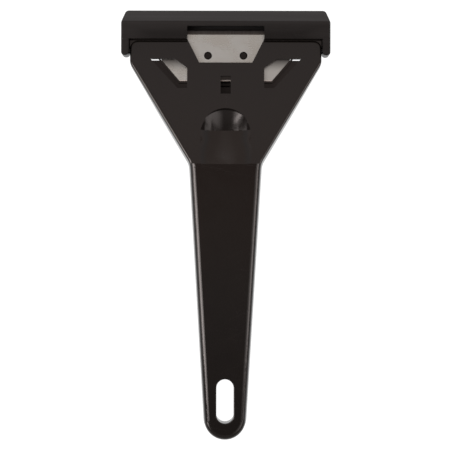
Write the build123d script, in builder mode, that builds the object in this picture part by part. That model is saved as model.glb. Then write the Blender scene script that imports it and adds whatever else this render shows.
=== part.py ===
from build123d import *
import math
import os

os.makedirs("parts", exist_ok=True)

# The scraper lies on its back. +Z leaves its front face, +Y runs from the handle to the blade and +X is to
# the right as one looks down on the face. The origin is under the middle of the whole tool, on the surface
# that it lies on. Lengths are in millimetres and angles in degrees.

# Whole tool
overall_length = 162.3
overall_width = 78.6

# Trapezoid blade
blade_height = 19.0
blade_end_to_side = 2.4
blade_end_angle = 49.35
blade_thickness = 0.6
blade_bevel_length = 1.5
blade_edge_thickness = 0.08
blade_hole_diameter = 3.0
blade_hole_spacing = 13.45
blade_hole_to_edge = 9.4
blade_reach = 3.9
blade_mid_height = 5.0

# Guard
guard_depth = 10.8
guard_lip_gap = 0.45
guard_thickness = 7.4
guard_wall = 1.4
guard_front_wall = 3.1
guard_wedge_length = 4.2
guard_wedge_drop = 2.0
guard_corner_width = 1.8
guard_corner_length = 4.7
guard_corner_radius = 1.5
guard_arm_thickness = 3.0
guard_arm_length = 6.2
guard_arm_lead = 0.15
guard_arm_end_radius = 1.3
guard_foot_width = 2.2
guard_foot_overlap = 0.6
guard_edge_chamfer = 0.4
guard_notch_width = 29.0
guard_notch_depth = 4.8
guard_inner_radius = 0.8
guard_clearance = 0.2

# Click bump on each arm, and the groove for it in the side of the head
bump_radius = 0.5
bump_height = 0.2
bump_to_front = 3.5
bump_length = 3.0
groove_clearance = 0.3

# Head
head_front_wall = 1.5
head_back_wall = 1.6
head_corner_radius = 3.0
head_lip_reach = 1.1
head_lip_thickness = 0.7
head_lip_radius = 0.6
shoulder_to_front = 9.6
shoulder_radius = 4.0
head_edge_radius = 0.9
slot_play = 0.1
fence_width = 0.6
blade_side_play = 0.15
ramp_start_to_front = 27.5
ramp_end_to_front = 12.5

# Neck and handle
ridge_to_front = 46.45
ridge_height = 9.0
neck_corner_behind_ridge = 0.2
neck_width = 27.9
neck_radius = 6.5
side_draft = 4.5
handle_end_radius = 8.25
handle_end_height = 7.0
handle_bow = 0.25
handle_edge_radius = 2.1

# Hanging slot
hanging_slot_width = 6.5
hanging_slot_length = 16.7
hanging_slot_to_end = 6.8
hanging_slot_edge = 0.3
hanging_slot_draft = 2.0

# Thumb recess
bowl_cross_radius = 12.8
bowl_along_radius = 45.0
bowl_low_behind = 10.9
bowl_reach = 8.4
bowl_rim_radius = 9.5
bowl_rim_slant = 30.0
bowl_depth = 4.1
bowl_to_ridge = 12.7

# Openings of the front wall
blade_window_depth = 8.35
blade_window_rear_width = 20.0
blade_window_front_width = 28.4
side_window_to_front = 6.9
side_window_behind_blade = 2.9
side_window_inner_width = 29.0
side_window_to_side = 7.7
side_window_corner_width = 4.7
side_window_corner_length = 3.5
side_window_foot = 3.65
side_window_sink = 0.5
centre_window_width = 3.8
centre_window_over_blade = 0.3
centre_window_step_length = 1.4
centre_window_step_depth = 1.0
centre_window_behind_blade = 5.0

# Openings of the back wall
back_window_to_front = 2.1
back_window_length = 5.1
back_window_inner_width = 30.0
back_window_to_side = 5.1

# Hollows in the back of the handle and the head
handle_wall = 2.2
rib_thickness = 1.6
handle_bay_count = 5
handle_bay_length = 14.0
first_bay_to_ridge = 2.0
handle_roof = 2.0
neck_bay_gap = 3.2
neck_bay_length = 13.0
neck_bay_height = 2.9
neck_bay_width = 12.0
head_bay_length = 8.0
head_bay_inner_width = 25.6
head_bay_height = 3.1

# Catch tongue
catch_width = 21.0
catch_front_to_head = 2.5
catch_axis_to_blade = 6.3
catch_drop = 0.1
catch_clearance = 0.4
catch_root_clearance = 0.2
catch_corner_radius = 1.5
catch_lip_height = 0.6
catch_lip_length = 1.6
catch_groove_radius = 1.1
catch_groove_depth = 0.8
stud_clearance = 0.15
stud_chamfer = 0.25

# One overrun serves every cut
overrun = 2.0

# How nearly an edge stands upright, and a face looks up, to be taken as such
upright_share = 0.9
facing_up_share = 0.98

# Places along the tool
guard_front = overall_length / 2
handle_end = -overall_length / 2
guard_rear = guard_front - guard_depth
head_front = guard_rear - guard_lip_gap
ridge_place = head_front - ridge_to_front
blade_edge = head_front + blade_reach
blade_rear = blade_edge - blade_height
hole_place = blade_edge - blade_hole_to_edge

# Levels above the surface that the tool lies on
blade_floor = blade_mid_height - blade_thickness / 2
blade_top = blade_mid_height + blade_thickness / 2
slot_ceiling = blade_top + slot_play
head_front_height = slot_ceiling + head_front_wall
head_back = blade_floor - head_back_wall

head_slope = (ridge_height - head_front_height) / ridge_to_front


def head_face_height(place):
    """Height of the head's sloping face at a place along the tool."""
    return head_front_height + (head_front - place) * head_slope


# Widths from the middle of the tool: the guard's arms close on the sides of the head
guard_outer = overall_width / 2
guard_inner = guard_outer - guard_arm_thickness
head_half = guard_inner - guard_clearance

# Outline of the body where it meets the surface that it lies on
neck_half = neck_width / 2
neck_place = ridge_place - neck_corner_behind_ridge
shoulder_place = head_front - shoulder_to_front
diagonal_run = (head_half - neck_half) / (shoulder_place - neck_place)
draft_lean = ridge_height * math.tan(math.radians(side_draft))
tip_place = handle_end + handle_end_radius
tip_run = neck_place - tip_place
handle_taper = math.acos(handle_end_radius / math.hypot(neck_half, tip_run)) - math.atan2(tip_run, neck_half)
tip_half = handle_end_radius * math.cos(handle_taper)
tip_start = tip_place - handle_end_radius * math.sin(handle_taper)


def handle_half(place):
    """Half the handle's width at the base, at a place along the tool."""
    return tip_half + (place - tip_start) * math.tan(handle_taper)


def head_half_at(place):
    """Half the head's width at the base, at a place on its slanting sides."""
    return neck_half + (place - neck_place) * diagonal_run


def upright_edges(builder):
    """Edges of the builder's solid that stand upright or nearly so."""
    return builder.edges().filter_by(lambda edge: abs((edge % 0.5).Z) > upright_share)


def top_face(builder):
    """The highest face of the builder's solid that looks up."""
    looking_up = builder.faces().filter_by(lambda face: face.normal_at().Z > facing_up_share)
    return looking_up.sort_by(Axis.Z)[-1]


# Blade outline: the cutting edge is the long side
blade_end_run = blade_height / math.tan(math.radians(blade_end_angle))
blade_front_half = head_half - blade_end_to_side
blade_rear_half = blade_front_half - blade_end_run


def blade_outline(margin, front):
    """Corners of the blade's trapezoid, grown by a margin and carried on to a front line."""
    spread = margin / math.sin(math.radians(blade_end_angle))
    lean = blade_end_run / blade_height
    rear = blade_rear - margin
    rear_half = blade_rear_half + spread - margin * lean
    front_half = rear_half + (front - rear) * lean
    return [(-rear_half, rear), (rear_half, rear), (front_half, front), (-front_half, front)]


# Catch places
catch_front = head_front - catch_front_to_head
catch_axis_place = blade_rear - catch_axis_to_blade
catch_top = blade_floor - catch_drop
catch_thickness = catch_top - head_back
catch_axis_height = head_back + catch_thickness / 2

# Trapezoid steel blade, ground to its edge from both sides
with BuildPart() as blade:
    with BuildSketch(Plane.XY.offset(blade_floor)):
        with BuildLine():
            Polyline(*blade_outline(0, blade_edge), close=True)
        make_face()
        with Locations((0, hole_place)):
            with GridLocations(blade_hole_spacing, 0, 2, 1):
                Circle(blade_hole_diameter / 2, mode=Mode.SUBTRACT)
    extrude(amount=blade_thickness)
    bevel_start = blade_edge - blade_bevel_length
    with BuildSketch(Plane.YZ):
        for side in (-1, 1):
            with BuildLine():
                Polyline(
                    (bevel_start, blade_mid_height + side * blade_thickness / 2),
                    (blade_edge, blade_mid_height + side * blade_edge_thickness / 2),
                    (blade_edge + overrun, blade_mid_height + side * blade_edge_thickness / 2),
                    (blade_edge + overrun, blade_mid_height + side * (blade_thickness + overrun)),
                    (bevel_start, blade_mid_height + side * (blade_thickness + overrun)),
                    close=True,
                )
            make_face()
    extrude(amount=blade_front_half + overrun, both=True, mode=Mode.SUBTRACT)
blade.part.label = "blade"
export_step(blade.part, "parts/blade.step")

# Catch tongue: a plate under the blade with two studs, a groove across it and a round root to bend about
catch_groove_half = math.sqrt(catch_groove_radius**2 - (catch_groove_radius - catch_groove_depth) ** 2)
catch_groove_place = blade_rear - blade_side_play - catch_groove_half
with BuildPart() as blade_catch:
    with BuildSketch(Plane.YZ):
        with BuildLine():
            Polyline(
                (catch_axis_place, catch_top),
                (catch_front, catch_top),
                (catch_front, head_back - catch_lip_height),
                (catch_front - catch_lip_length, head_back - catch_lip_height),
                (catch_front - 2 * catch_lip_length, head_back),
                (catch_axis_place, head_back),
            )
            ThreePointArc(
                (catch_axis_place, head_back),
                (catch_axis_place - catch_thickness / 2, catch_axis_height),
                (catch_axis_place, catch_top),
            )
        make_face()
    extrude(amount=catch_width / 2, both=True)
    fillet(blade_catch.edges().filter_by(Axis.Z).group_by(Axis.Y)[-1], radius=catch_corner_radius)
    with BuildSketch(Plane.YZ):
        with Locations((catch_groove_place, catch_top + catch_groove_radius - catch_groove_depth)):
            Circle(catch_groove_radius)
    extrude(amount=catch_width, both=True, mode=Mode.SUBTRACT)
    with BuildSketch(Plane.XY.offset(catch_top)):
        with Locations((0, hole_place)):
            with GridLocations(blade_hole_spacing, 0, 2, 1):
                Circle(blade_hole_diameter / 2 - stud_clearance)
    extrude(amount=blade_top - catch_top)
    stud_rims = blade_catch.edges().filter_by(GeomType.CIRCLE).group_by(Axis.Z)[-1]
    chamfer(stud_rims, length=stud_chamfer)
blade_catch.part.label = "blade_catch"
export_step(blade_catch.part, "parts/blade_catch.step")

# Shape of the thumb recess: a bowl that rises to a steep rim in front, then a floor that rises to the ridge
bowl_place = ridge_place + bowl_to_ridge
bowl_bottom = head_face_height(bowl_place) - bowl_depth
bowl_half = math.sqrt(bowl_cross_radius**2 - (bowl_cross_radius - bowl_depth) ** 2)
bowl_height = bowl_depth + overrun

bowl_top = bowl_bottom + bowl_height
bowl_top_half = math.sqrt(bowl_cross_radius**2 - (bowl_cross_radius - bowl_height) ** 2)

# The arc along the bowl would be lowest behind the bowl, so the bowl meets the floor in a crease
bowl_axis_height = bowl_bottom + math.sqrt(bowl_along_radius**2 - bowl_low_behind**2)
bowl_axis = Axis((0, bowl_place - bowl_low_behind, bowl_axis_height), (1, 0, 0))
quarter_turn = 90
# Each row holds the way from the bowl to the ridge, the depth and the half width, as shares
recess_floor_shares = [
    (0.0, 1.0, 1.0),
    (0.35, 0.69, 1.02),
    (0.7, 0.34, 1.04),
    (1.0, 0.02, 1.0),
    (1.1, -0.08, 0.98),
]
with BuildPart() as recess_bowl:
    with BuildSketch(Plane.XZ.offset(-bowl_place)):
        with BuildLine():
            ThreePointArc((-bowl_top_half, bowl_top), (0, bowl_bottom), (bowl_top_half, bowl_top))
            Line((bowl_top_half, bowl_top), (-bowl_top_half, bowl_top))
        make_face()
    revolve(axis=bowl_axis, revolution_arc=quarter_turn)
    with BuildSketch(Plane.XY.offset(bowl_bottom)):
        with Locations((0, bowl_place + bowl_reach - bowl_rim_radius)):
            Circle(bowl_rim_radius - bowl_depth * math.tan(math.radians(bowl_rim_slant)))
    extrude(amount=bowl_height, taper=-bowl_rim_slant, mode=Mode.INTERSECT)

with BuildPart() as recess_floor:
    for way_share, depth_share, width_share in recess_floor_shares:
        section_place = bowl_place - way_share * bowl_to_ridge
        section_face = head_face_height(section_place)
        section_half = width_share * bowl_half
        with BuildSketch(Plane.XZ.offset(-section_place)):
            with BuildLine():
                ThreePointArc(
                    (-section_half, section_face),
                    (0, section_face - depth_share * bowl_depth),
                    (section_half, section_face),
                )
                Polyline(
                    (section_half, section_face),
                    (section_half, section_face + overrun),
                    (-section_half, section_face + overrun),
                    (-section_half, section_face),
                )
            make_face()
    loft()

# Hollows in the back, each narrow enough to leave a rib beside it
first_bay_front = ridge_place - first_bay_to_ridge
neck_bay_rear = ridge_place + neck_bay_gap
neck_bay_front = neck_bay_rear + neck_bay_length
head_bay_rear = neck_bay_front + neck_bay_gap
head_bay_front = head_bay_rear + head_bay_length


def handle_bay(front):
    """Corners of one hollow of the handle, from its front line."""
    rear = front - handle_bay_length
    front_half = handle_half(front) - handle_wall
    rear_half = handle_half(rear) - handle_wall
    return [(-front_half, front), (-rear_half, rear), (rear_half, rear), (front_half, front)]


def slanting_bay(side, inner, rear, front):
    """Corners of a hollow beside a slanting side of the head: side is 1 on the right and -1 on the left."""
    return [
        (side * inner, rear),
        (side * (head_half_at(rear) - neck_bay_gap), rear),
        (side * (head_half_at(front) - neck_bay_gap), front),
        (side * inner, front),
    ]


def side_window(side):
    """Corners of a side window: side is 1 on the right and -1 on the left."""
    return [
        (side * window_outer, side_window_front),
        (side * (window_inner + side_window_corner_width), side_window_front),
        (side * window_inner, side_window_front - side_window_corner_length),
        (side * window_inner, side_window_rear),
        (side * (window_inner + side_window_foot), side_window_rear),
    ]


# Body: head, neck and handle in one moulding
base_corner = (head_half + draft_lean, shoulder_place + draft_lean / diagonal_run)
ramp_start = head_front - ramp_start_to_front
ramp_end = head_front - ramp_end_to_front
side_window_front = head_front - side_window_to_front
side_window_rear = blade_rear - side_window_behind_blade
window_inner = side_window_inner_width / 2
window_outer = head_half - side_window_to_side
centre_window_front = blade_rear + centre_window_over_blade
centre_window_length = centre_window_over_blade + centre_window_behind_blade
centre_step_front = centre_window_front + centre_window_step_length
back_window_inner = back_window_inner_width / 2
back_window_width = head_half - back_window_to_side - back_window_inner
back_window_place = head_front - back_window_to_front - back_window_length / 2
catch_well_rear = catch_axis_place - catch_thickness / 2 - catch_root_clearance
catch_well_front = catch_front + catch_clearance
bump_middle = guard_inner + bump_radius - bump_height
bump_place = head_front - bump_to_front
with BuildPart() as body_blank:
    with BuildSketch():
        with BuildLine():
            Polyline(
                (neck_half, neck_place),
                base_corner,
                (base_corner[0], head_front + draft_lean),
                (-base_corner[0], head_front + draft_lean),
                (-base_corner[0], base_corner[1]),
                (-neck_half, neck_place),
                (-tip_half, tip_start),
            )
            ThreePointArc((-tip_half, tip_start), (0, handle_end), (tip_half, tip_start))
            Line((tip_half, tip_start), (neck_half, neck_place))
        make_face()
        for side in (-1, 1):
            fillet(vertices().sort_by_distance((side * neck_half, neck_place))[0], radius=neck_radius)
    extrude(amount=ridge_height, taper=side_draft)
    with BuildSketch(Plane.YZ.offset(-head_half)):
        with BuildLine():
            Polyline(
                (handle_end, handle_end_height),
                (handle_end - overrun, handle_end_height),
                (handle_end - overrun, 0),
                (ramp_start, 0),
                (ramp_end, head_back),
                (head_front, head_back),
                (head_front, head_front_height),
                (ridge_place, ridge_height),
            )
            ThreePointArc(
                (ridge_place, ridge_height),
                (
                    (ridge_place + handle_end) / 2,
                    (ridge_height + handle_end_height) / 2 + handle_bow,
                ),
                (handle_end, handle_end_height),
            )
        make_face()
    extrude(amount=2 * head_half, mode=Mode.INTERSECT)

    fillet(upright_edges(body_blank).group_by(Axis.Y)[-1], radius=head_corner_radius)
    for side in (-1, 1):
        shoulder = (side * head_half, shoulder_place, head_back)
        fillet(upright_edges(body_blank).sort_by_distance(shoulder)[0], radius=shoulder_radius)

with BuildPart() as head_blank:
    add(body_blank.part)
    split(bisect_by=Plane.XZ.offset(-ridge_place), keep=Keep.BOTTOM)
    fillet(top_face(head_blank).edges().sort_by(Axis.Y)[1:], radius=head_edge_radius)

with BuildPart() as handle_body:
    add(body_blank.part)
    split(bisect_by=Plane.XZ.offset(-ridge_place), keep=Keep.TOP)
    fillet(top_face(handle_body).edges().sort_by(Axis.Y)[:-1], radius=handle_edge_radius)
    add(head_blank.part)

    # Low lip along the front of the head, which stands in the guard's cavity
    with BuildSketch(Plane.XY.offset(slot_ceiling)):
        with Locations((0, head_front + (head_lip_reach - head_corner_radius) / 2)):
            Rectangle(2 * head_half, head_corner_radius + head_lip_reach)
        fillet(vertices().group_by(Axis.Y)[-1], radius=head_lip_radius)
    extrude(amount=head_lip_thickness)

    # Thumb recess
    add(recess_bowl.part, mode=Mode.SUBTRACT)
    add(recess_floor.part, mode=Mode.SUBTRACT)

    # Hollows of the handle and the head
    with BuildSketch():
        for bay in range(handle_bay_count):
            bay_front = first_bay_front - bay * (handle_bay_length + rib_thickness)
            with BuildLine():
                Polyline(*handle_bay(bay_front), close=True)
            make_face()
    extrude(amount=handle_end_height - handle_roof, mode=Mode.SUBTRACT)
    with BuildSketch():
        with Locations((0, (neck_bay_rear + neck_bay_front) / 2)):
            Rectangle(neck_bay_width, neck_bay_length)
        for side in (-1, 1):
            with BuildLine():
                Polyline(
                    *slanting_bay(side, neck_bay_width / 2 + rib_thickness, neck_bay_rear, neck_bay_front),
                    close=True,
                )
            make_face()
    extrude(amount=neck_bay_height, mode=Mode.SUBTRACT)
    with BuildSketch():
        for side in (-1, 1):
            with BuildLine():
                Polyline(
                    *slanting_bay(side, head_bay_inner_width / 2, head_bay_rear, head_bay_front),
                    close=True,
                )
            make_face()
    extrude(amount=head_bay_height, mode=Mode.SUBTRACT)

    # Well for the catch tongue and the two windows of the back wall
    with BuildSketch():
        with Locations((0, (catch_well_rear + catch_well_front) / 2)):
            Rectangle(catch_width + 2 * catch_clearance, catch_well_front - catch_well_rear)
        for side in (-1, 1):
            with Locations((side * (back_window_inner + back_window_width / 2), back_window_place)):
                Rectangle(back_window_width, back_window_length)
    extrude(amount=blade_floor, mode=Mode.SUBTRACT)

    # Slot for the blade, open ahead
    with BuildSketch(Plane.XY.offset(blade_floor)):
        with BuildLine():
            Polyline(*blade_outline(blade_side_play, head_front + overrun), close=True)
        make_face()
    extrude(amount=slot_ceiling - blade_floor, mode=Mode.SUBTRACT)

    # Front wall: the blade's window, the centre window and the two side windows
    with BuildSketch(Plane.XY.offset(slot_ceiling)):
        blade_window_rear = head_front - blade_window_depth
        window_lean = (blade_window_front_width - blade_window_rear_width) / 2 / blade_window_depth
        window_front_half = blade_window_front_width / 2 + overrun * window_lean
        with BuildLine():
            Polyline(
                (-blade_window_rear_width / 2, blade_window_rear),
                (blade_window_rear_width / 2, blade_window_rear),
                (window_front_half, head_front + overrun),
                (-window_front_half, head_front + overrun),
                close=True,
            )
        make_face()
        for side in (-1, 1):
            with BuildLine():
                Polyline(*side_window(side), close=True)
            make_face()
    extrude(amount=ridge_height, mode=Mode.SUBTRACT)
    with BuildSketch(Plane.XY.offset(blade_floor)):
        with Locations((0, centre_window_front - centre_window_length / 2)):
            Rectangle(centre_window_width, centre_window_length)
    extrude(amount=ridge_height, mode=Mode.SUBTRACT)
    with BuildSketch(Plane.XY.offset(head_face_height(centre_step_front) - centre_window_step_depth)):
        with Locations((0, (centre_window_front + centre_step_front) / 2)):
            Rectangle(centre_window_width, centre_window_step_length)
    extrude(amount=ridge_height, mode=Mode.SUBTRACT)

    # Floors of the side windows lie a little under the blade, past the fence along its slanting ends
    with BuildSketch(Plane.XY.offset(blade_floor - side_window_sink)):
        for side in (-1, 1):
            with BuildLine():
                Polyline(*side_window(side), close=True)
            make_face()
        with BuildLine():
            Polyline(*blade_outline(blade_side_play + fence_width, head_front + overrun), close=True)
        make_face(mode=Mode.SUBTRACT)
    extrude(amount=ridge_height, mode=Mode.SUBTRACT)

    # Grooves for the guard's bumps
    with BuildSketch():
        with Locations((-bump_middle, bump_place), (bump_middle, bump_place)):
            Circle(bump_radius + groove_clearance)
    extrude(amount=ridge_height, mode=Mode.SUBTRACT)

    # Hanging slot
    slot_front = handle_end + hanging_slot_to_end + hanging_slot_length
    slot_lean = handle_end_height * math.tan(math.radians(hanging_slot_draft))
    with BuildSketch():
        with Locations((0, handle_end + hanging_slot_to_end + hanging_slot_length / 2)):
            SlotOverall(hanging_slot_length + 2 * slot_lean, hanging_slot_width + 2 * slot_lean, rotation=90)
    extrude(amount=ridge_height, taper=hanging_slot_draft, mode=Mode.SUBTRACT)
    slot_rims = handle_body.edges().filter_by(
        lambda edge: abs(edge.center().X) < hanging_slot_width / 2 + hanging_slot_edge
        and edge.center().Y > handle_end + hanging_slot_to_end - hanging_slot_edge
        and edge.center().Y < slot_front + hanging_slot_edge
        and edge.center().Z > handle_end_height / 2
        and abs((edge % 0.5).Z) < upright_share
    )
    fillet(slot_rims, radius=hanging_slot_edge)
handle_body.part.label = "handle_body"
export_step(handle_body.part, "parts/handle_body.step")

# Guard: a wedge-fronted cap with two arms
guard_half_thickness = guard_thickness / 2
guard_front_half = guard_outer - guard_corner_width
guard_cavity = guard_thickness - 2 * guard_wall
arm_rear = guard_rear - guard_arm_length
foot_rear = arm_rear + guard_arm_end_radius
foot_middle = guard_inner + (guard_foot_overlap - guard_foot_width) / 2
with BuildPart() as blade_guard:
    with BuildSketch(Plane.XY.offset(blade_mid_height - guard_half_thickness)):
        with BuildLine():
            Polyline(
                (-guard_inner, guard_rear),
                (-guard_inner - guard_arm_lead, arm_rear),
                (-guard_outer, arm_rear),
                (-guard_outer, guard_front - guard_corner_length),
                (-guard_front_half, guard_front),
                (guard_front_half, guard_front),
                (guard_outer, guard_front - guard_corner_length),
                (guard_outer, arm_rear),
                (guard_inner + guard_arm_lead, arm_rear),
                (guard_inner, guard_rear),
                close=True,
            )
        make_face()
    extrude(amount=guard_thickness)
    fillet(blade_guard.edges().filter_by(Axis.Z).group_by(Axis.Y)[-1], radius=guard_corner_radius)
    fillet(blade_guard.edges().filter_by(Axis.Z).group_by(Axis.Y)[0], radius=guard_arm_end_radius)
    with BuildSketch(Plane.YZ.offset(-guard_outer)):
        with BuildLine():
            Polyline(
                (arm_rear, blade_mid_height - guard_half_thickness),
                (guard_front - guard_wedge_length, blade_mid_height - guard_half_thickness),
                (guard_front, blade_mid_height - guard_half_thickness + guard_wedge_drop),
                (guard_front, blade_mid_height + guard_half_thickness - guard_wedge_drop),
                (guard_front - guard_wedge_length, blade_mid_height + guard_half_thickness),
                (arm_rear, blade_mid_height + guard_half_thickness),
                close=True,
            )
        make_face()
    extrude(amount=overall_width, mode=Mode.INTERSECT)
    side_edges = blade_guard.edges().filter_by(Axis.Y).filter_by(
        lambda edge: abs(abs(edge.center().X) - guard_outer) < guard_clearance
    )
    chamfer(side_edges, length=guard_edge_chamfer)
    with BuildSketch(Plane.XY.offset(blade_mid_height - guard_cavity / 2)):
        with BuildLine():
            Polyline(
                (-guard_inner, guard_rear - overrun),
                (guard_inner, guard_rear - overrun),
                (guard_inner, guard_front - guard_front_wall),
                (-guard_inner, guard_front - guard_front_wall),
                close=True,
            )
        make_face()
        fillet(vertices().group_by(Axis.Y)[-1], radius=guard_inner_radius)
    extrude(amount=guard_cavity, mode=Mode.SUBTRACT)
    with BuildSketch(Plane.XY.offset(blade_mid_height)):
        with Locations((0, guard_rear + (guard_notch_depth - overrun) / 2)):
            Rectangle(guard_notch_width, guard_notch_depth + overrun)
    extrude(amount=guard_thickness, mode=Mode.SUBTRACT)
    with BuildSketch(Plane.XY.offset(blade_mid_height - bump_length / 2)):
        for side in (-1, 1):
            with Locations((side * bump_middle, bump_place)):
                Circle(bump_radius)
    extrude(amount=bump_length)

    # Foot along each arm, which reaches under the head and closes the gap beside it from below
    with BuildSketch(Plane.XY.offset(blade_mid_height - guard_half_thickness)):
        for side in (-1, 1):
            with Locations((side * foot_middle, (foot_rear + guard_rear) / 2)):
                Rectangle(guard_foot_width + guard_foot_overlap, guard_rear - foot_rear)
    extrude(amount=guard_wall)
blade_guard.part.label = "blade_guard"
export_step(blade_guard.part, "parts/blade_guard.step")
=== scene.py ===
# %% [markdown]
# # A plastic scraper with its blade guard on
# The real object is a hand scraper: a glossy black moulding with a broad head and a slim handle, a
# trapezoid steel blade in the head, a satin black guard pushed over the edge, and a small catch that keeps
# the blade in. Their exact shapes are already worked out as solids, so they are loaded as a fixed frame and
# never moved. What is left for Blender is what one sees: the finishes, the light and the view.

# %% Load the frame
import math

import bpy
import numpy as np
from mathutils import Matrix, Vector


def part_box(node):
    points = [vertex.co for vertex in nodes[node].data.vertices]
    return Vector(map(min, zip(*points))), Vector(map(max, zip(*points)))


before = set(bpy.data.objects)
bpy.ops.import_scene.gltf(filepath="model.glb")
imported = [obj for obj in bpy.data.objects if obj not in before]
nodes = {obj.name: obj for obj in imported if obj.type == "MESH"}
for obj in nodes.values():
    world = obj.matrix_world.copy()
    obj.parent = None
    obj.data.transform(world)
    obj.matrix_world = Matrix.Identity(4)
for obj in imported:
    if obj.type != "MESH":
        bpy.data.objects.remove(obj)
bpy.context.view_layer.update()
for name, piece in sorted(nodes.items()):
    print("frame piece", name, len(piece.data.polygons), "faces")

# %% [markdown]
# ## A small kit for node trees
# Every material below is a tree of shader nodes. Short helpers keep that readable: one adds a node and sets
# its values, one joins two sockets, four do sums, smooth steps and blends of colour, one takes a place
# apart, and one starts an empty material with a Principled shader in it.

# %% Node helpers
MM = 0.001
print("one millimetre is", MM, "of the frame's metres")


def add_node(tree, kind, **settings):
    """A new node of this kind; a setting is a property of it, or the value of its input of that name."""
    node = tree.nodes.new(kind)
    for key, value in settings.items():
        if hasattr(node, key):
            setattr(node, key, value)
        else:
            node.inputs[key.replace("_", " ")].default_value = value
    return node


def join(tree, source, target):
    """A link from one socket to another, or a plain value put into the second."""
    if isinstance(source, bpy.types.NodeSocket):
        tree.links.new(source, target)
    else:
        target.default_value = source


def calculate(tree, operation, *values):
    """The result of a math node on sockets and plain numbers."""
    node = add_node(tree, "ShaderNodeMath", operation=operation)
    for value, target in zip(values, node.inputs):
        join(tree, value, target)
    return node.outputs["Value"]


def remap(tree, value, low, high, to_low=0.0, to_high=1.0):
    """A smooth step: a value that goes from low to high comes out going from to_low to to_high."""
    node = add_node(tree, "ShaderNodeMapRange", interpolation_type="SMOOTHSTEP")
    for source, target in zip((value, low, high, to_low, to_high), node.inputs):
        join(tree, source, target)
    return node.outputs["Result"]


def rise_and_fall(tree, value, start, full, still, end):
    """A smooth step up from start to full, times one down from still to end."""
    rise = remap(tree, value, start, full)
    fall = remap(tree, value, still, end, 1.0, 0.0)
    return calculate(tree, "MULTIPLY", rise, fall)


def blend_colours(tree, share, first, second):
    """A colour that goes from the first to the second as share goes from 0 to 1."""
    node = add_node(tree, "ShaderNodeMix", data_type="RGBA")
    for source, target in zip((share, first, second), (node.inputs[0], node.inputs[6], node.inputs[7])):
        join(tree, source, target)
    return node.outputs[2]


def across_and_along(tree, place):
    """The X and the Y of a place: across the tool and along it."""
    split = add_node(tree, "ShaderNodeSeparateXYZ")
    join(tree, place, split.inputs[0])
    return split.outputs["X"], split.outputs["Y"]


def start_material(name):
    """An empty node material with a Principled shader wired to its output."""
    material = bpy.data.materials.new(name)
    material.use_nodes = True
    tree = material.node_tree
    tree.nodes.clear()
    shader = add_node(tree, "ShaderNodeBsdfPrincipled")
    output = add_node(tree, "ShaderNodeOutputMaterial")
    join(tree, shader.outputs["BSDF"], output.inputs["Surface"])
    return material, tree, shader


# %% [markdown]
# ## The view
# The photograph looks straight down on the face of the scraper. Its picture plane is 169.8 mm wide at the
# height of the blade, and a lens about 450 mm above shows the slight perspective of the side walls. The
# camera points down -Z with +Y up in the picture, and is rolled by an eighth of a degree, as the tool was
# laid down.

# %% Camera
PLANE_HEIGHT = 6.0 * MM
CAMERA_DISTANCE = 450 * MM
PICTURE_WIDTH = 169.8 * MM
CAMERA_ASIDE = -0.13 * MM
CAMERA_AHEAD = 0.41 * MM
CAMERA_ROLL = 0.13
SENSOR_WIDTH = 36.0
NEAREST_SEEN = 0.01
FARTHEST_SEEN = 20

camera_data = bpy.data.cameras.new("camera")
camera_data.sensor_width = SENSOR_WIDTH
camera_data.lens = SENSOR_WIDTH * CAMERA_DISTANCE / PICTURE_WIDTH
camera_data.clip_start = NEAREST_SEEN
camera_data.clip_end = FARTHEST_SEEN
camera = bpy.data.objects.new("camera", camera_data)
camera.location = (CAMERA_ASIDE, CAMERA_AHEAD, PLANE_HEIGHT + CAMERA_DISTANCE)
camera.rotation_euler = (0, 0, math.radians(CAMERA_ROLL))
bpy.context.scene.collection.objects.link(camera)
bpy.context.scene.camera = camera
bpy.context.scene.view_settings.view_transform = "Standard"
print("lens", round(camera_data.lens, 1), "mm")

# %% [markdown]
# ## The table
# The scraper lies on plain white paper. One face a hair below height zero is enough. To the camera it is
# mostly light of its own, so that it is as white as the background of the photograph, and a small part of it
# is matt white, so that the object still darkens it where it touches. Gloss sees the same paper a little
# darker, because the slanting side walls mirror the paper close by, which the tool shades. From behind the
# sheet is clear, so that the back of the tool can be looked at from below.

# %% Floor
FLOOR_HALF = 3.0
FLOOR_DROP = 0.02 * MM
SHADOW_SHARE = 0.10
PAPER_SEEN = 1.16
PAPER_IN_GLOSS = 0.86
PAPER_WHITE = (0.9, 0.9, 0.9, 1)

floor_mesh = bpy.data.meshes.new("table")
floor_corners = np.array([(-1, -1, 0), (1, -1, 0), (1, 1, 0), (-1, 1, 0)]) * FLOOR_HALF
floor_mesh.from_pydata(floor_corners.tolist(), [], [(0, 1, 2, 3)])
floor = bpy.data.objects.new("table", floor_mesh)
floor.location.z = -FLOOR_DROP
bpy.context.scene.collection.objects.link(floor)

white_table = bpy.data.materials.new("white table")
white_table.use_nodes = True
tree = white_table.node_tree
tree.nodes.clear()
path = add_node(tree, "ShaderNodeLightPath")
facing = add_node(tree, "ShaderNodeNewGeometry")
matt = add_node(tree, "ShaderNodeBsdfDiffuse", Color=PAPER_WHITE)
clear = add_node(tree, "ShaderNodeBsdfTransparent")
glow = add_node(tree, "ShaderNodeEmission")
strength = remap(tree, path.outputs["Is Glossy Ray"], 0.0, 1.0, PAPER_SEEN, PAPER_IN_GLOSS)
join(tree, strength, glow.inputs["Strength"])
mostly_glow = add_node(tree, "ShaderNodeMixShader", Fac=SHADOW_SHARE)
join(tree, glow.outputs["Emission"], mostly_glow.inputs[1])
join(tree, matt.outputs["BSDF"], mostly_glow.inputs[2])
seen = add_node(tree, "ShaderNodeMixShader")
seen_directly = calculate(tree, "MAXIMUM", path.outputs["Is Camera Ray"], path.outputs["Is Glossy Ray"])
join(tree, seen_directly, seen.inputs["Fac"])
join(tree, matt.outputs["BSDF"], seen.inputs[1])
join(tree, mostly_glow.outputs["Shader"], seen.inputs[2])
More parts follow.
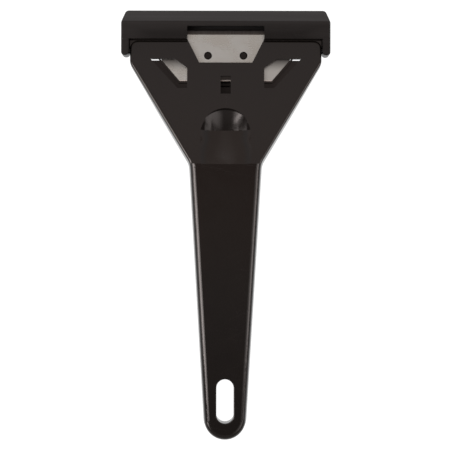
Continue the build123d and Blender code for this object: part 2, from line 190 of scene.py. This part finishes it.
one_sided = add_node(tree, "ShaderNodeMixShader")
join(tree, facing.outputs["Backfacing"], one_sided.inputs["Fac"])
join(tree, seen.outputs["Shader"], one_sided.inputs[1])
join(tree, clear.outputs["BSDF"], one_sided.inputs[2])
output = add_node(tree, "ShaderNodeOutputMaterial")
join(tree, one_sided.outputs["Shader"], output.inputs["Surface"])
floor_mesh.materials.append(white_table)
print("floor", floor_mesh.name, "at", round(floor.location.z / MM, 2), "mm")

# %% [markdown]
# ## The room
# Gloss on black plastic shows the room rather than the plastic. In the photograph the head, which leans a
# little forward, is lighter than the handle, which leans back: the ceiling gets lighter towards the front of
# the tool, and has a warm dark patch overhead. The world repeats that with a colour ramp on the Y part of
# the direction. Each stop gives the sine of the tilt towards the front, and the colour of the room there. To
# the camera the world is plain white.

# %% World
room_tones = [
    (-0.60, (0.25, 0.22, 0.21)),
    (-0.40, (0.08, 0.06, 0.055)),
    (-0.22, (0.045, 0.035, 0.03)),
    (-0.10, (0.17, 0.155, 0.15)),
    (-0.02, (0.28, 0.21, 0.18)),
    (0.06, (0.10, 0.04, 0.03)),
    (0.14, (0.60, 0.50, 0.46)),
    (0.22, (0.51, 0.44, 0.425)),
    (0.32, (0.43, 0.40, 0.395)),
    (0.45, (0.47, 0.37, 0.33)),
    (0.62, (0.48, 0.375, 0.335)),
    (0.71, (0.64, 0.52, 0.475)),
    (0.80, (1.2, 1.13, 1.13)),
    (1.00, (1.2, 1.13, 1.13)),
]
ramp_low, ramp_high = room_tones[0][0], room_tones[-1][0]

sky = bpy.data.worlds.new("room")
bpy.context.scene.world = sky
sky.use_nodes = True
tree = sky.node_tree
tree.nodes.clear()
place = add_node(tree, "ShaderNodeTexCoord")
forward = across_and_along(tree, place.outputs["Generated"])[1]
to_ramp = add_node(tree, "ShaderNodeMapRange", From_Min=ramp_low, From_Max=ramp_high)
ramp = add_node(tree, "ShaderNodeValToRGB")
stops = ramp.color_ramp.elements
while len(stops) < len(room_tones):
    stops.new(0.5)
for stop, (tilt, colour) in zip(stops, room_tones):
    stop.position = (tilt - ramp_low) / (ramp_high - ramp_low)
    stop.color = (*colour, 1)
room = add_node(tree, "ShaderNodeBackground")
white = add_node(tree, "ShaderNodeBackground", Color=(1, 1, 1, 1), Strength=1.0)
path = add_node(tree, "ShaderNodeLightPath")
seen = add_node(tree, "ShaderNodeMixShader")
output = add_node(tree, "ShaderNodeOutputWorld")
join(tree, forward, to_ramp.inputs["Value"])
join(tree, to_ramp.outputs["Result"], ramp.inputs["Fac"])
join(tree, ramp.outputs["Color"], room.inputs["Color"])
join(tree, path.outputs["Is Camera Ray"], seen.inputs["Fac"])
join(tree, room.outputs["Background"], seen.inputs[1])
join(tree, white.outputs["Background"], seen.inputs[2])
join(tree, seen.outputs["Shader"], output.inputs["Surface"])
print("room ramp with", len(stops), "stops")

# %% [markdown]
# ## The light walls
# Two long warm white screens stand curved on either side of the tool, a near one beside it and a far one
# behind the end of the handle. The stripe that runs along each rounded edge of the handle is the near screen
# in small: its width is the angle that the screen covers, and its changing brightness is how the screen is
# lit. The two soft patches in the thumb bowl are the far screens, and the dark band below them is the gap
# before the near ones. Each screen is made of narrow area lamps side by side round a circle. One lamp shows
# in a gloss as a rectangle as bright as its power over its area and pi.

# %% Light walls
WALL_RADIUS = 0.6
LAMP_COLOUR = (1.0, 0.90, 0.87)
LEFT, RIGHT = -1, 1
REAR_SHARE = 0.35

# A lamp is the angles from straight overhead where it starts and ends, in degrees, and how bright it is
left_far = [(24, 30, 0.4), (30, 38, 3.0), (38, 48, 6.0), (48, 54, 6.6), (54, 62, 5.2), (62, 74, 2.4)]
left_rear = [(start, end, tone * REAR_SHARE) for start, end, tone in left_far]
# A screen is its name, its side, where it starts and ends along the tool, in metres, and its lamps
screens = [
    ("left screen top", LEFT, -0.205, 0.035, [(10, 16, 1.1), (16, 24, 3.4), (24, 32, 6.7), (32, 44, 8.7)]),
    ("left screen foot", LEFT, -0.165, 0.035, [(44, 52, 6.2), (52, 62, 3.2), (62, 76, 1.5)]),
    ("far left screen", LEFT, -0.335, -0.275, left_far),
    ("far left screen rear", LEFT, -0.43, -0.335, left_rear),
    ("right screen top", RIGHT, -0.205, 0.035, [(14, 22, 0.3), (22, 30, 0.8), (30, 40, 1.7)]),
    ("right screen foot", RIGHT, -0.165, 0.035, [(40, 52, 3.0), (52, 64, 3.2), (64, 74, 1.4)]),
    ("far right screen top", RIGHT, -0.46, -0.26,
     [(12, 20, 0.4), (20, 30, 1.0), (30, 40, 1.35), (40, 52, 1.5)]),
    ("far right screen low", RIGHT, -0.39, -0.19, [(52, 64, 1.65)]),
    ("far right screen foot", RIGHT, -0.27, -0.19, [(64, 74, 1.7)]),
]


def light_wall(name, side, y_start, y_end, lamps):
    """Area lamps side by side on a circle round the Y axis, on the left or the right side of the tool."""
    length = y_end - y_start
    for start, end, tone in lamps:
        middle = side * math.radians((start + end) / 2)
        width = math.radians(end - start) * WALL_RADIUS
        data = bpy.data.lights.new(f"{name} {start}", "AREA")
        data.shape = "RECTANGLE"
        data.size = width
        data.size_y = length
        data.energy = tone * math.pi * width * length
        data.color = LAMP_COLOUR
        lamp = bpy.data.objects.new(data.name, data)
        aside, up = WALL_RADIUS * math.sin(middle), WALL_RADIUS * math.cos(middle)
        lamp.location = (aside, (y_start + y_end) / 2, up)
        lamp.rotation_euler = (0, middle, 0)
        bpy.context.scene.collection.objects.link(lamp)
    print(name, "of", len(lamps), "lamps")


for screen in screens:
    light_wall(*screen)

# %% [markdown]
# ## What moulded plastic has on its skin
# A steel mould leaves plastic smooth, but never quite even: the colour flows in soft clouds, the mould's own
# finish leaves a fine grain, and use leaves hairline scratches. The body, the catch and the guard all have
# them, so they are one group of nodes with its own numbers in each material. Clouds and grain are noise of
# two sizes. A scratch is noise that is stretched along one direction and cut off so high that only thin
# lines are left, and only where a third noise says that the skin was rubbed. Places are in metres, so a
# scale of 100 makes clouds of about 10 mm.

# %% Helpers for a patterned skin
# Most of what a noise texture gives lies between these two
NOISE_LOW, NOISE_HIGH = 0.3, 0.7
print("noise is read from", NOISE_LOW, "to", NOISE_HIGH)


def start_group(name, inputs, outputs):
    """An empty group of shader nodes with the named sockets, and its two end nodes."""
    group = bpy.data.node_groups.new(name, "ShaderNodeTree")
    for title, kind in inputs:
        group.interface.new_socket(name=title, in_out="INPUT", socket_type=kind)
    for title, kind in outputs:
        group.interface.new_socket(name=title, in_out="OUTPUT", socket_type=kind)
    return group, add_node(group, "NodeGroupInput"), add_node(group, "NodeGroupOutput")


def noise(tree, place, scale, detail=2.0):
    """The value of a noise texture, which lies about 0.5."""
    node = add_node(tree, "ShaderNodeTexNoise", Detail=detail)
    join(tree, place, node.inputs["Vector"])
    join(tree, scale, node.inputs["Scale"])
    return node.outputs["Fac"]


def stretched_noise(tree, place, turn, scales, detail=3.0):
    """Noise at places turned about Z by an angle in degrees and multiplied by three scales."""
    turned = add_node(tree, "ShaderNodeVectorRotate", rotation_type="Z_AXIS", Angle=math.radians(turn))
    stretched = add_node(tree, "ShaderNodeVectorMath", operation="MULTIPLY")
    join(tree, place, turned.inputs["Vector"])
    join(tree, turned.outputs["Vector"], stretched.inputs[0])
    join(tree, scales, stretched.inputs[1])
    return noise(tree, stretched.outputs["Vector"], 1.0, detail)


def raise_bumps(tree, shader, height):
    """Heights in metres, as small bumps of the shader's surface."""
    bump = add_node(tree, "ShaderNodeBump", Distance=1.0)
    join(tree, height, bump.inputs["Height"])
    join(tree, bump.outputs["Normal"], shader.inputs["Normal"])


# %% Moulded skin
CLOUD_DETAIL = 3.0
SCRATCH_STRETCH = (60, 7000, 200)
SCRATCH_DETAIL = 1.0
SCRATCH_WIDTH = 0.06
SCRATCH_DEPTH = 0.0015 * MM
RUBBED_SCALE = 45.0
RUBBED_LOW, RUBBED_HIGH = 0.45, 0.62
# The direction of each set of scratches, in degrees, and the noise above which one shows
scratch_sets = ((8, 0.70), (-27, 0.72), (64, 0.73))

number, vector = "NodeSocketFloat", "NodeSocketVector"
moulded_skin, ends, results = start_group(
    "moulded skin",
    [("Place", vector), ("Cloud Scale", number), ("Grain Scale", number), ("Grain Depth", number)],
    [("Clouds", number), ("Grain", number), ("Scratches", number), ("Height", number)],
)
place = ends.outputs["Place"]
clouds = noise(moulded_skin, place, ends.outputs["Cloud Scale"], CLOUD_DETAIL)
grain = noise(moulded_skin, place, ends.outputs["Grain Scale"])
scratches = 0.0
for turn, lowest in scratch_sets:
    lines = stretched_noise(moulded_skin, place, turn, SCRATCH_STRETCH, SCRATCH_DETAIL)
    shown = remap(moulded_skin, lines, lowest, lowest + SCRATCH_WIDTH)
    scratches = calculate(moulded_skin, "MAXIMUM", shown, scratches)
wear_and_painted_light = remap(moulded_skin, noise(moulded_skin, place, RUBBED_SCALE), RUBBED_LOW, RUBBED_HIGH)
scratches = calculate(moulded_skin, "MULTIPLY", scratches, wear_and_painted_light)
cut = calculate(moulded_skin, "MULTIPLY", scratches, -SCRATCH_DEPTH)
height = calculate(moulded_skin, "MULTIPLY_ADD", grain, ends.outputs["Grain Depth"], cut)
for title, value in (("Clouds", clouds), ("Grain", grain), ("Scratches", scratches), ("Height", height)):
    join(moulded_skin, value, results.inputs[title])
print("group", moulded_skin.name, "with", len(moulded_skin.nodes), "nodes")


def place_skin(tree, cloud_scale, grain_scale, grain_depth):
    """The moulded skin in a material, on the piece's own places."""
    where = add_node(tree, "ShaderNodeTexCoord")
    skin = add_node(tree, "ShaderNodeGroup", node_tree=moulded_skin)
    join(tree, where.outputs["Object"], skin.inputs["Place"])
    skin.inputs["Cloud Scale"].default_value = cloud_scale
    skin.inputs["Grain Scale"].default_value = grain_scale
    skin.inputs["Grain Depth"].default_value = grain_depth
    return where.outputs["Object"], skin


# %% [markdown]
# ## Black plastic of the body and the catch
# The body is a glossy moulding of black plastic with a slightly warm cast. Its colour is nearly nothing, its
# gloss does the work. Clouds change both a little, and scratches are a touch paler and duller. Where the
# plastic met again behind the middle of the blade while the mould filled, a short knit line is left, a fine
# groove along the middle of the head. It is drawn by its distance from that middle. The catch is the same
# plastic, duller and more scratched, because the blade rubs on it.

# %% Black plastic
KNIT_X = 0.1 * MM
KNIT_HALF_WIDTH = 0.16 * MM
KNIT_START = 44.9 * MM
KNIT_END = 49.4 * MM
KNIT_FADE = 0.5 * MM
KNIT_DEPTH = 0.008 * MM
BLACK_CLOUD_SCALE = 110.0
BLACK_GRAIN_SCALE = 2600.0
BLACK_GRAIN_DEPTH = 0.0008 * MM
# How much duller the clouds, the scratches and the knit line are
CLOUD_DULLNESS = 0.06
SCRATCH_DULLNESS = 0.25
KNIT_DULLNESS = 0.3

plain_black = (0.0072, 0.0064, 0.0060, 1)
cloudy_black = (0.0092, 0.0080, 0.0074, 1)
scratch_grey = (0.022, 0.021, 0.020, 1)


def black_skin(name, dullness, gloss_index, scratch_share):
    """The black plastic, with its own dullness, refractive index and strength of scratches."""
    material, tree, shader = start_material(name)
    place, skin = place_skin(tree, BLACK_CLOUD_SCALE, BLACK_GRAIN_SCALE, BLACK_GRAIN_DEPTH)
    clouds = skin.outputs["Clouds"]
    across, along = across_and_along(tree, place)
    aside = calculate(tree, "ABSOLUTE", calculate(tree, "SUBTRACT", across, KNIT_X))
    near_knit = remap(tree, aside, 0.0, KNIT_HALF_WIDTH, 1.0, 0.0)
    knit_length = rise_and_fall(tree, along, KNIT_START - KNIT_FADE, KNIT_START + KNIT_FADE,
                                KNIT_END - KNIT_FADE, KNIT_END + KNIT_FADE)
    knit = calculate(tree, "MULTIPLY", near_knit, knit_length)
    worn = calculate(tree, "MULTIPLY", skin.outputs["Scratches"], scratch_share)
    cloudy = blend_colours(tree, clouds, plain_black, cloudy_black)
    join(tree, blend_colours(tree, worn, cloudy, scratch_grey), shader.inputs["Base Color"])
    rough = calculate(tree, "MULTIPLY_ADD", clouds, CLOUD_DULLNESS, dullness - CLOUD_DULLNESS / 2)
    rough = calculate(tree, "MULTIPLY_ADD", worn, SCRATCH_DULLNESS, rough)
    rough = calculate(tree, "MULTIPLY_ADD", knit, KNIT_DULLNESS, rough)
    join(tree, rough, shader.inputs["Roughness"])
    raise_bumps(tree, shader, calculate(tree, "MULTIPLY_ADD", knit, -KNIT_DEPTH, skin.outputs["Height"]))
    shader.inputs["IOR"].default_value = gloss_index
    print("material", name, "with", len(tree.nodes), "nodes")
    return material


body_plastic = black_skin("black plastic", dullness=0.14, gloss_index=1.5, scratch_share=0.35)
catch_plastic = black_skin("catch plastic", dullness=0.22, gloss_index=1.34, scratch_share=1.0)

# %% [markdown]
# ## Satin plastic of the guard
# The guard comes from another mould, whose spark-cut finish leaves an even satin grain. Its gloss is wide
# and soft. The plastic flowed into the mould from the side, so faint streaks run along the guard. The front
# of the face and the arms are painted paler than the part over the head, as painted light, and are a little
# duller there. Both are masks on the place along and across the tool.

# %% Guard plastic
# Where the painted light on the front of the guard starts and is full, along the tool
LIGHTER_FROM = 71.5 * MM
LIGHTER_TO = 77.5 * MM
ARM_FROM = 26 * MM
ARM_TO = 37 * MM
ARM_SHARE = 0.6
STREAK_SCALES = (14, 900, 500)
FAINTEST_STREAK, STRONGEST_STREAK = 0.75, 1.2
GUARD_CLOUD_SCALE = 160.0
GUARD_GRAIN_SCALE = 3400.0
GUARD_GRAIN_DEPTH = 0.004 * MM
GUARD_SCRATCH_SHARE = 0.4
GUARD_DULLNESS = 0.34
FRONT_DULLNESS = 0.03
STREAK_GLOSS = 0.06
GUARD_GLOSS_INDEX = 1.44

guard_black = (0.0014, 0.0015, 0.0016, 1)
# The paler black of the painted light on the front of the face and on the arms
painted_light_black = (0.0134, 0.0133, 0.0134, 1)
guard_scratch_grey = (0.03, 0.03, 0.03, 1)

guard_plastic, tree, shader = start_material("guard plastic")
place, skin = place_skin(tree, GUARD_CLOUD_SCALE, GUARD_GRAIN_SCALE, GUARD_GRAIN_DEPTH)
across, along = across_and_along(tree, place)
# Painted light: the front of the face and the arms are painted paler
ahead = remap(tree, along, LIGHTER_FROM, LIGHTER_TO)
on_arm = remap(tree, calculate(tree, "ABSOLUTE", across), ARM_FROM, ARM_TO, 0.0, ARM_SHARE)
wear_and_painted_light = calculate(tree, "MAXIMUM", ahead, on_arm)
streaks = stretched_noise(tree, place, 0, STREAK_SCALES)
streaks = remap(tree, streaks, NOISE_LOW, NOISE_HIGH, FAINTEST_STREAK, STRONGEST_STREAK)
guard_colour = blend_colours(tree, wear_and_painted_light, guard_black, painted_light_black)
worn = calculate(tree, "MULTIPLY", skin.outputs["Scratches"], GUARD_SCRATCH_SHARE)
scratched = blend_colours(tree, worn, guard_colour, guard_scratch_grey)
streaked = add_node(tree, "ShaderNodeVectorMath", operation="SCALE")
join(tree, scratched, streaked.inputs[0])
join(tree, streaks, streaked.inputs["Scale"])
join(tree, streaked.outputs["Vector"], shader.inputs["Base Color"])
rough = calculate(tree, "MULTIPLY_ADD", wear_and_painted_light, FRONT_DULLNESS, GUARD_DULLNESS)
rough = calculate(tree, "MULTIPLY_ADD", streaks, -STREAK_GLOSS, rough)
join(tree, rough, shader.inputs["Roughness"])
raise_bumps(tree, shader, skin.outputs["Height"])
shader.inputs["IOR"].default_value = GUARD_GLOSS_INDEX
print("material", guard_plastic.name, "with", len(tree.nodes), "nodes")

# %% [markdown]
# ## Ground steel of the blade
# A trapezoid blade is punched from hard carbon steel strip and ground. Its flat sides carry fine grinding
# lines along its length and a thin film of oil, which yellows the grey in soft patches. A painted highlight
# makes a strip along its rear edge brighter. Where the ends of the blade go under the head, painted shade
# darkens the steel next to the wall of each side window. The cutting bevel is ground across, with coarser
# lines that run towards the edge, and painted shade makes it much darker too. Both kinds of lines are noise
# stretched along their direction. The step between them is a mask on the distance to the edge, and the
# painted shade under the windows is one on the place along and across.

# %% Masks on the blade
BEVEL_LENGTH = 1.5 * MM
BEVEL_FADE = 0.08 * MM
# The width of the painted highlight along the rear edge
REAR_HIGHLIGHT_WIDTH = 0.45 * MM
# Where painted shade darkens the steel under the front of the side windows, along and across the tool
SHADE_FROM = 57.8 * MM
SHADE_DEEPEST = 64.0 * MM
SHADE_END = 65.2 * MM
SHADE_BEYOND = 13.2 * MM
SHADE_FADE = 1.0 * MM
ALONG_STRETCH = (120, 6000, 120)
ACROSS_STRETCH = (5000, 150, 300)
OIL_SCALE = 140.0
OIL_LOW, OIL_HIGH = 0.35, 0.7

blade_low, blade_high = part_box("blade")
bevel_start = blade_high.y - BEVEL_LENGTH
blade_steel, tree, shader = start_material("blade steel")
where = add_node(tree, "ShaderNodeTexCoord").outputs["Object"]
across, along = across_and_along(tree, where)
bevel = remap(tree, along, bevel_start - BEVEL_FADE, bevel_start + BEVEL_FADE)
# Painted highlight: a strip along the rear edge is painted brighter
rear_painted_highlight = remap(tree, along, blade_low.y, blade_low.y + REAR_HIGHLIGHT_WIDTH, 1.0, 0.0)
# Painted shade: the steel next to the wall of each side window is darkened
at_end = remap(tree, calculate(tree, "ABSOLUTE", across),
               SHADE_BEYOND - SHADE_FADE, SHADE_BEYOND + SHADE_FADE)
at_wall = rise_and_fall(tree, along, SHADE_FROM, SHADE_DEEPEST, SHADE_DEEPEST, SHADE_END)
painted_shade_under_window = calculate(tree, "MULTIPLY", at_end, at_wall)
along_lines = stretched_noise(tree, where, 0, ALONG_STRETCH)
across_lines = stretched_noise(tree, where, 0, ACROSS_STRETCH)
oil = remap(tree, noise(tree, where, OIL_SCALE), OIL_LOW, OIL_HIGH)
print("bevel starts", round(bevel_start / MM, 2), "mm ahead of the middle")

# %% Blade steel
LINE_SHARE = 0.10
STEEL_DULLNESS = 0.26
OIL_GLOSS = 0.05
LINE_DULLNESS = 0.08
BEVEL_DULLNESS = 0.12
BODY_LINE_DEPTH = 0.0004 * MM
BEVEL_LINE_DEPTH = 0.004 * MM

clean_steel = (0.725, 0.80, 0.79, 1)
oiled_steel = (0.70, 0.755, 0.725, 1)
# The colour of the painted highlight along the rear edge
painted_highlight_steel = (0.98, 0.95, 0.91, 1)
line_steel = (0.62, 0.615, 0.60, 1)
# The colour of the painted shade under the side windows
painted_shade_grey = (0.09, 0.09, 0.088, 1)
# The bevel's colours carry painted shade: the bevel is painted much darker than the flat steel
bevel_painted_shade = (0.05, 0.048, 0.046, 1)
bevel_painted_shade_pale = (0.20, 0.193, 0.187, 1)

flat_colour = blend_colours(tree, oil, clean_steel, oiled_steel)
flat_colour = blend_colours(tree, rear_painted_highlight, flat_colour, painted_highlight_steel)
line_strength = remap(tree, along_lines, NOISE_LOW, NOISE_HIGH, 0.0, LINE_SHARE)
lined = blend_colours(tree, line_strength, flat_colour, line_steel)
# Painted shade under the side windows
lined = blend_colours(tree, painted_shade_under_window, lined, painted_shade_grey)
# Painted shade on the bevel, with its grinding lines
bevel_shaded_colour = blend_colours(tree, across_lines, bevel_painted_shade, bevel_painted_shade_pale)
join(tree, blend_colours(tree, bevel, lined, bevel_shaded_colour), shader.inputs["Base Color"])
shader.inputs["Metallic"].default_value = 1.0
rough = calculate(tree, "MULTIPLY_ADD", oil, -OIL_GLOSS, STEEL_DULLNESS)
rough = calculate(tree, "MULTIPLY_ADD", along_lines, LINE_DULLNESS, rough)
rough = calculate(tree, "MULTIPLY_ADD", bevel, BEVEL_DULLNESS, rough)
join(tree, rough, shader.inputs["Roughness"])
flat_height = calculate(tree, "MULTIPLY", along_lines, BODY_LINE_DEPTH)
on_bevel = calculate(tree, "MULTIPLY", across_lines, bevel)
bevel_height = calculate(tree, "MULTIPLY", on_bevel, BEVEL_LINE_DEPTH)
raise_bumps(tree, shader, calculate(tree, "ADD", flat_height, bevel_height))
print("material", blade_steel.name, "with", len(tree.nodes), "nodes")

# %% [markdown]
# ## Dressing the pieces
# Each solid keeps its mesh and its place. Only the finish in its material slots is exchanged.

# %% Dress the pieces
finishes = {
    "handle_body": body_plastic,
    "blade_catch": catch_plastic,
    "blade_guard": guard_plastic,
    "blade": blade_steel,
}
for name, finish in finishes.items():
    for slot in nodes[name].material_slots:
        slot.material = finish
    print(name, "wears", finish.name)
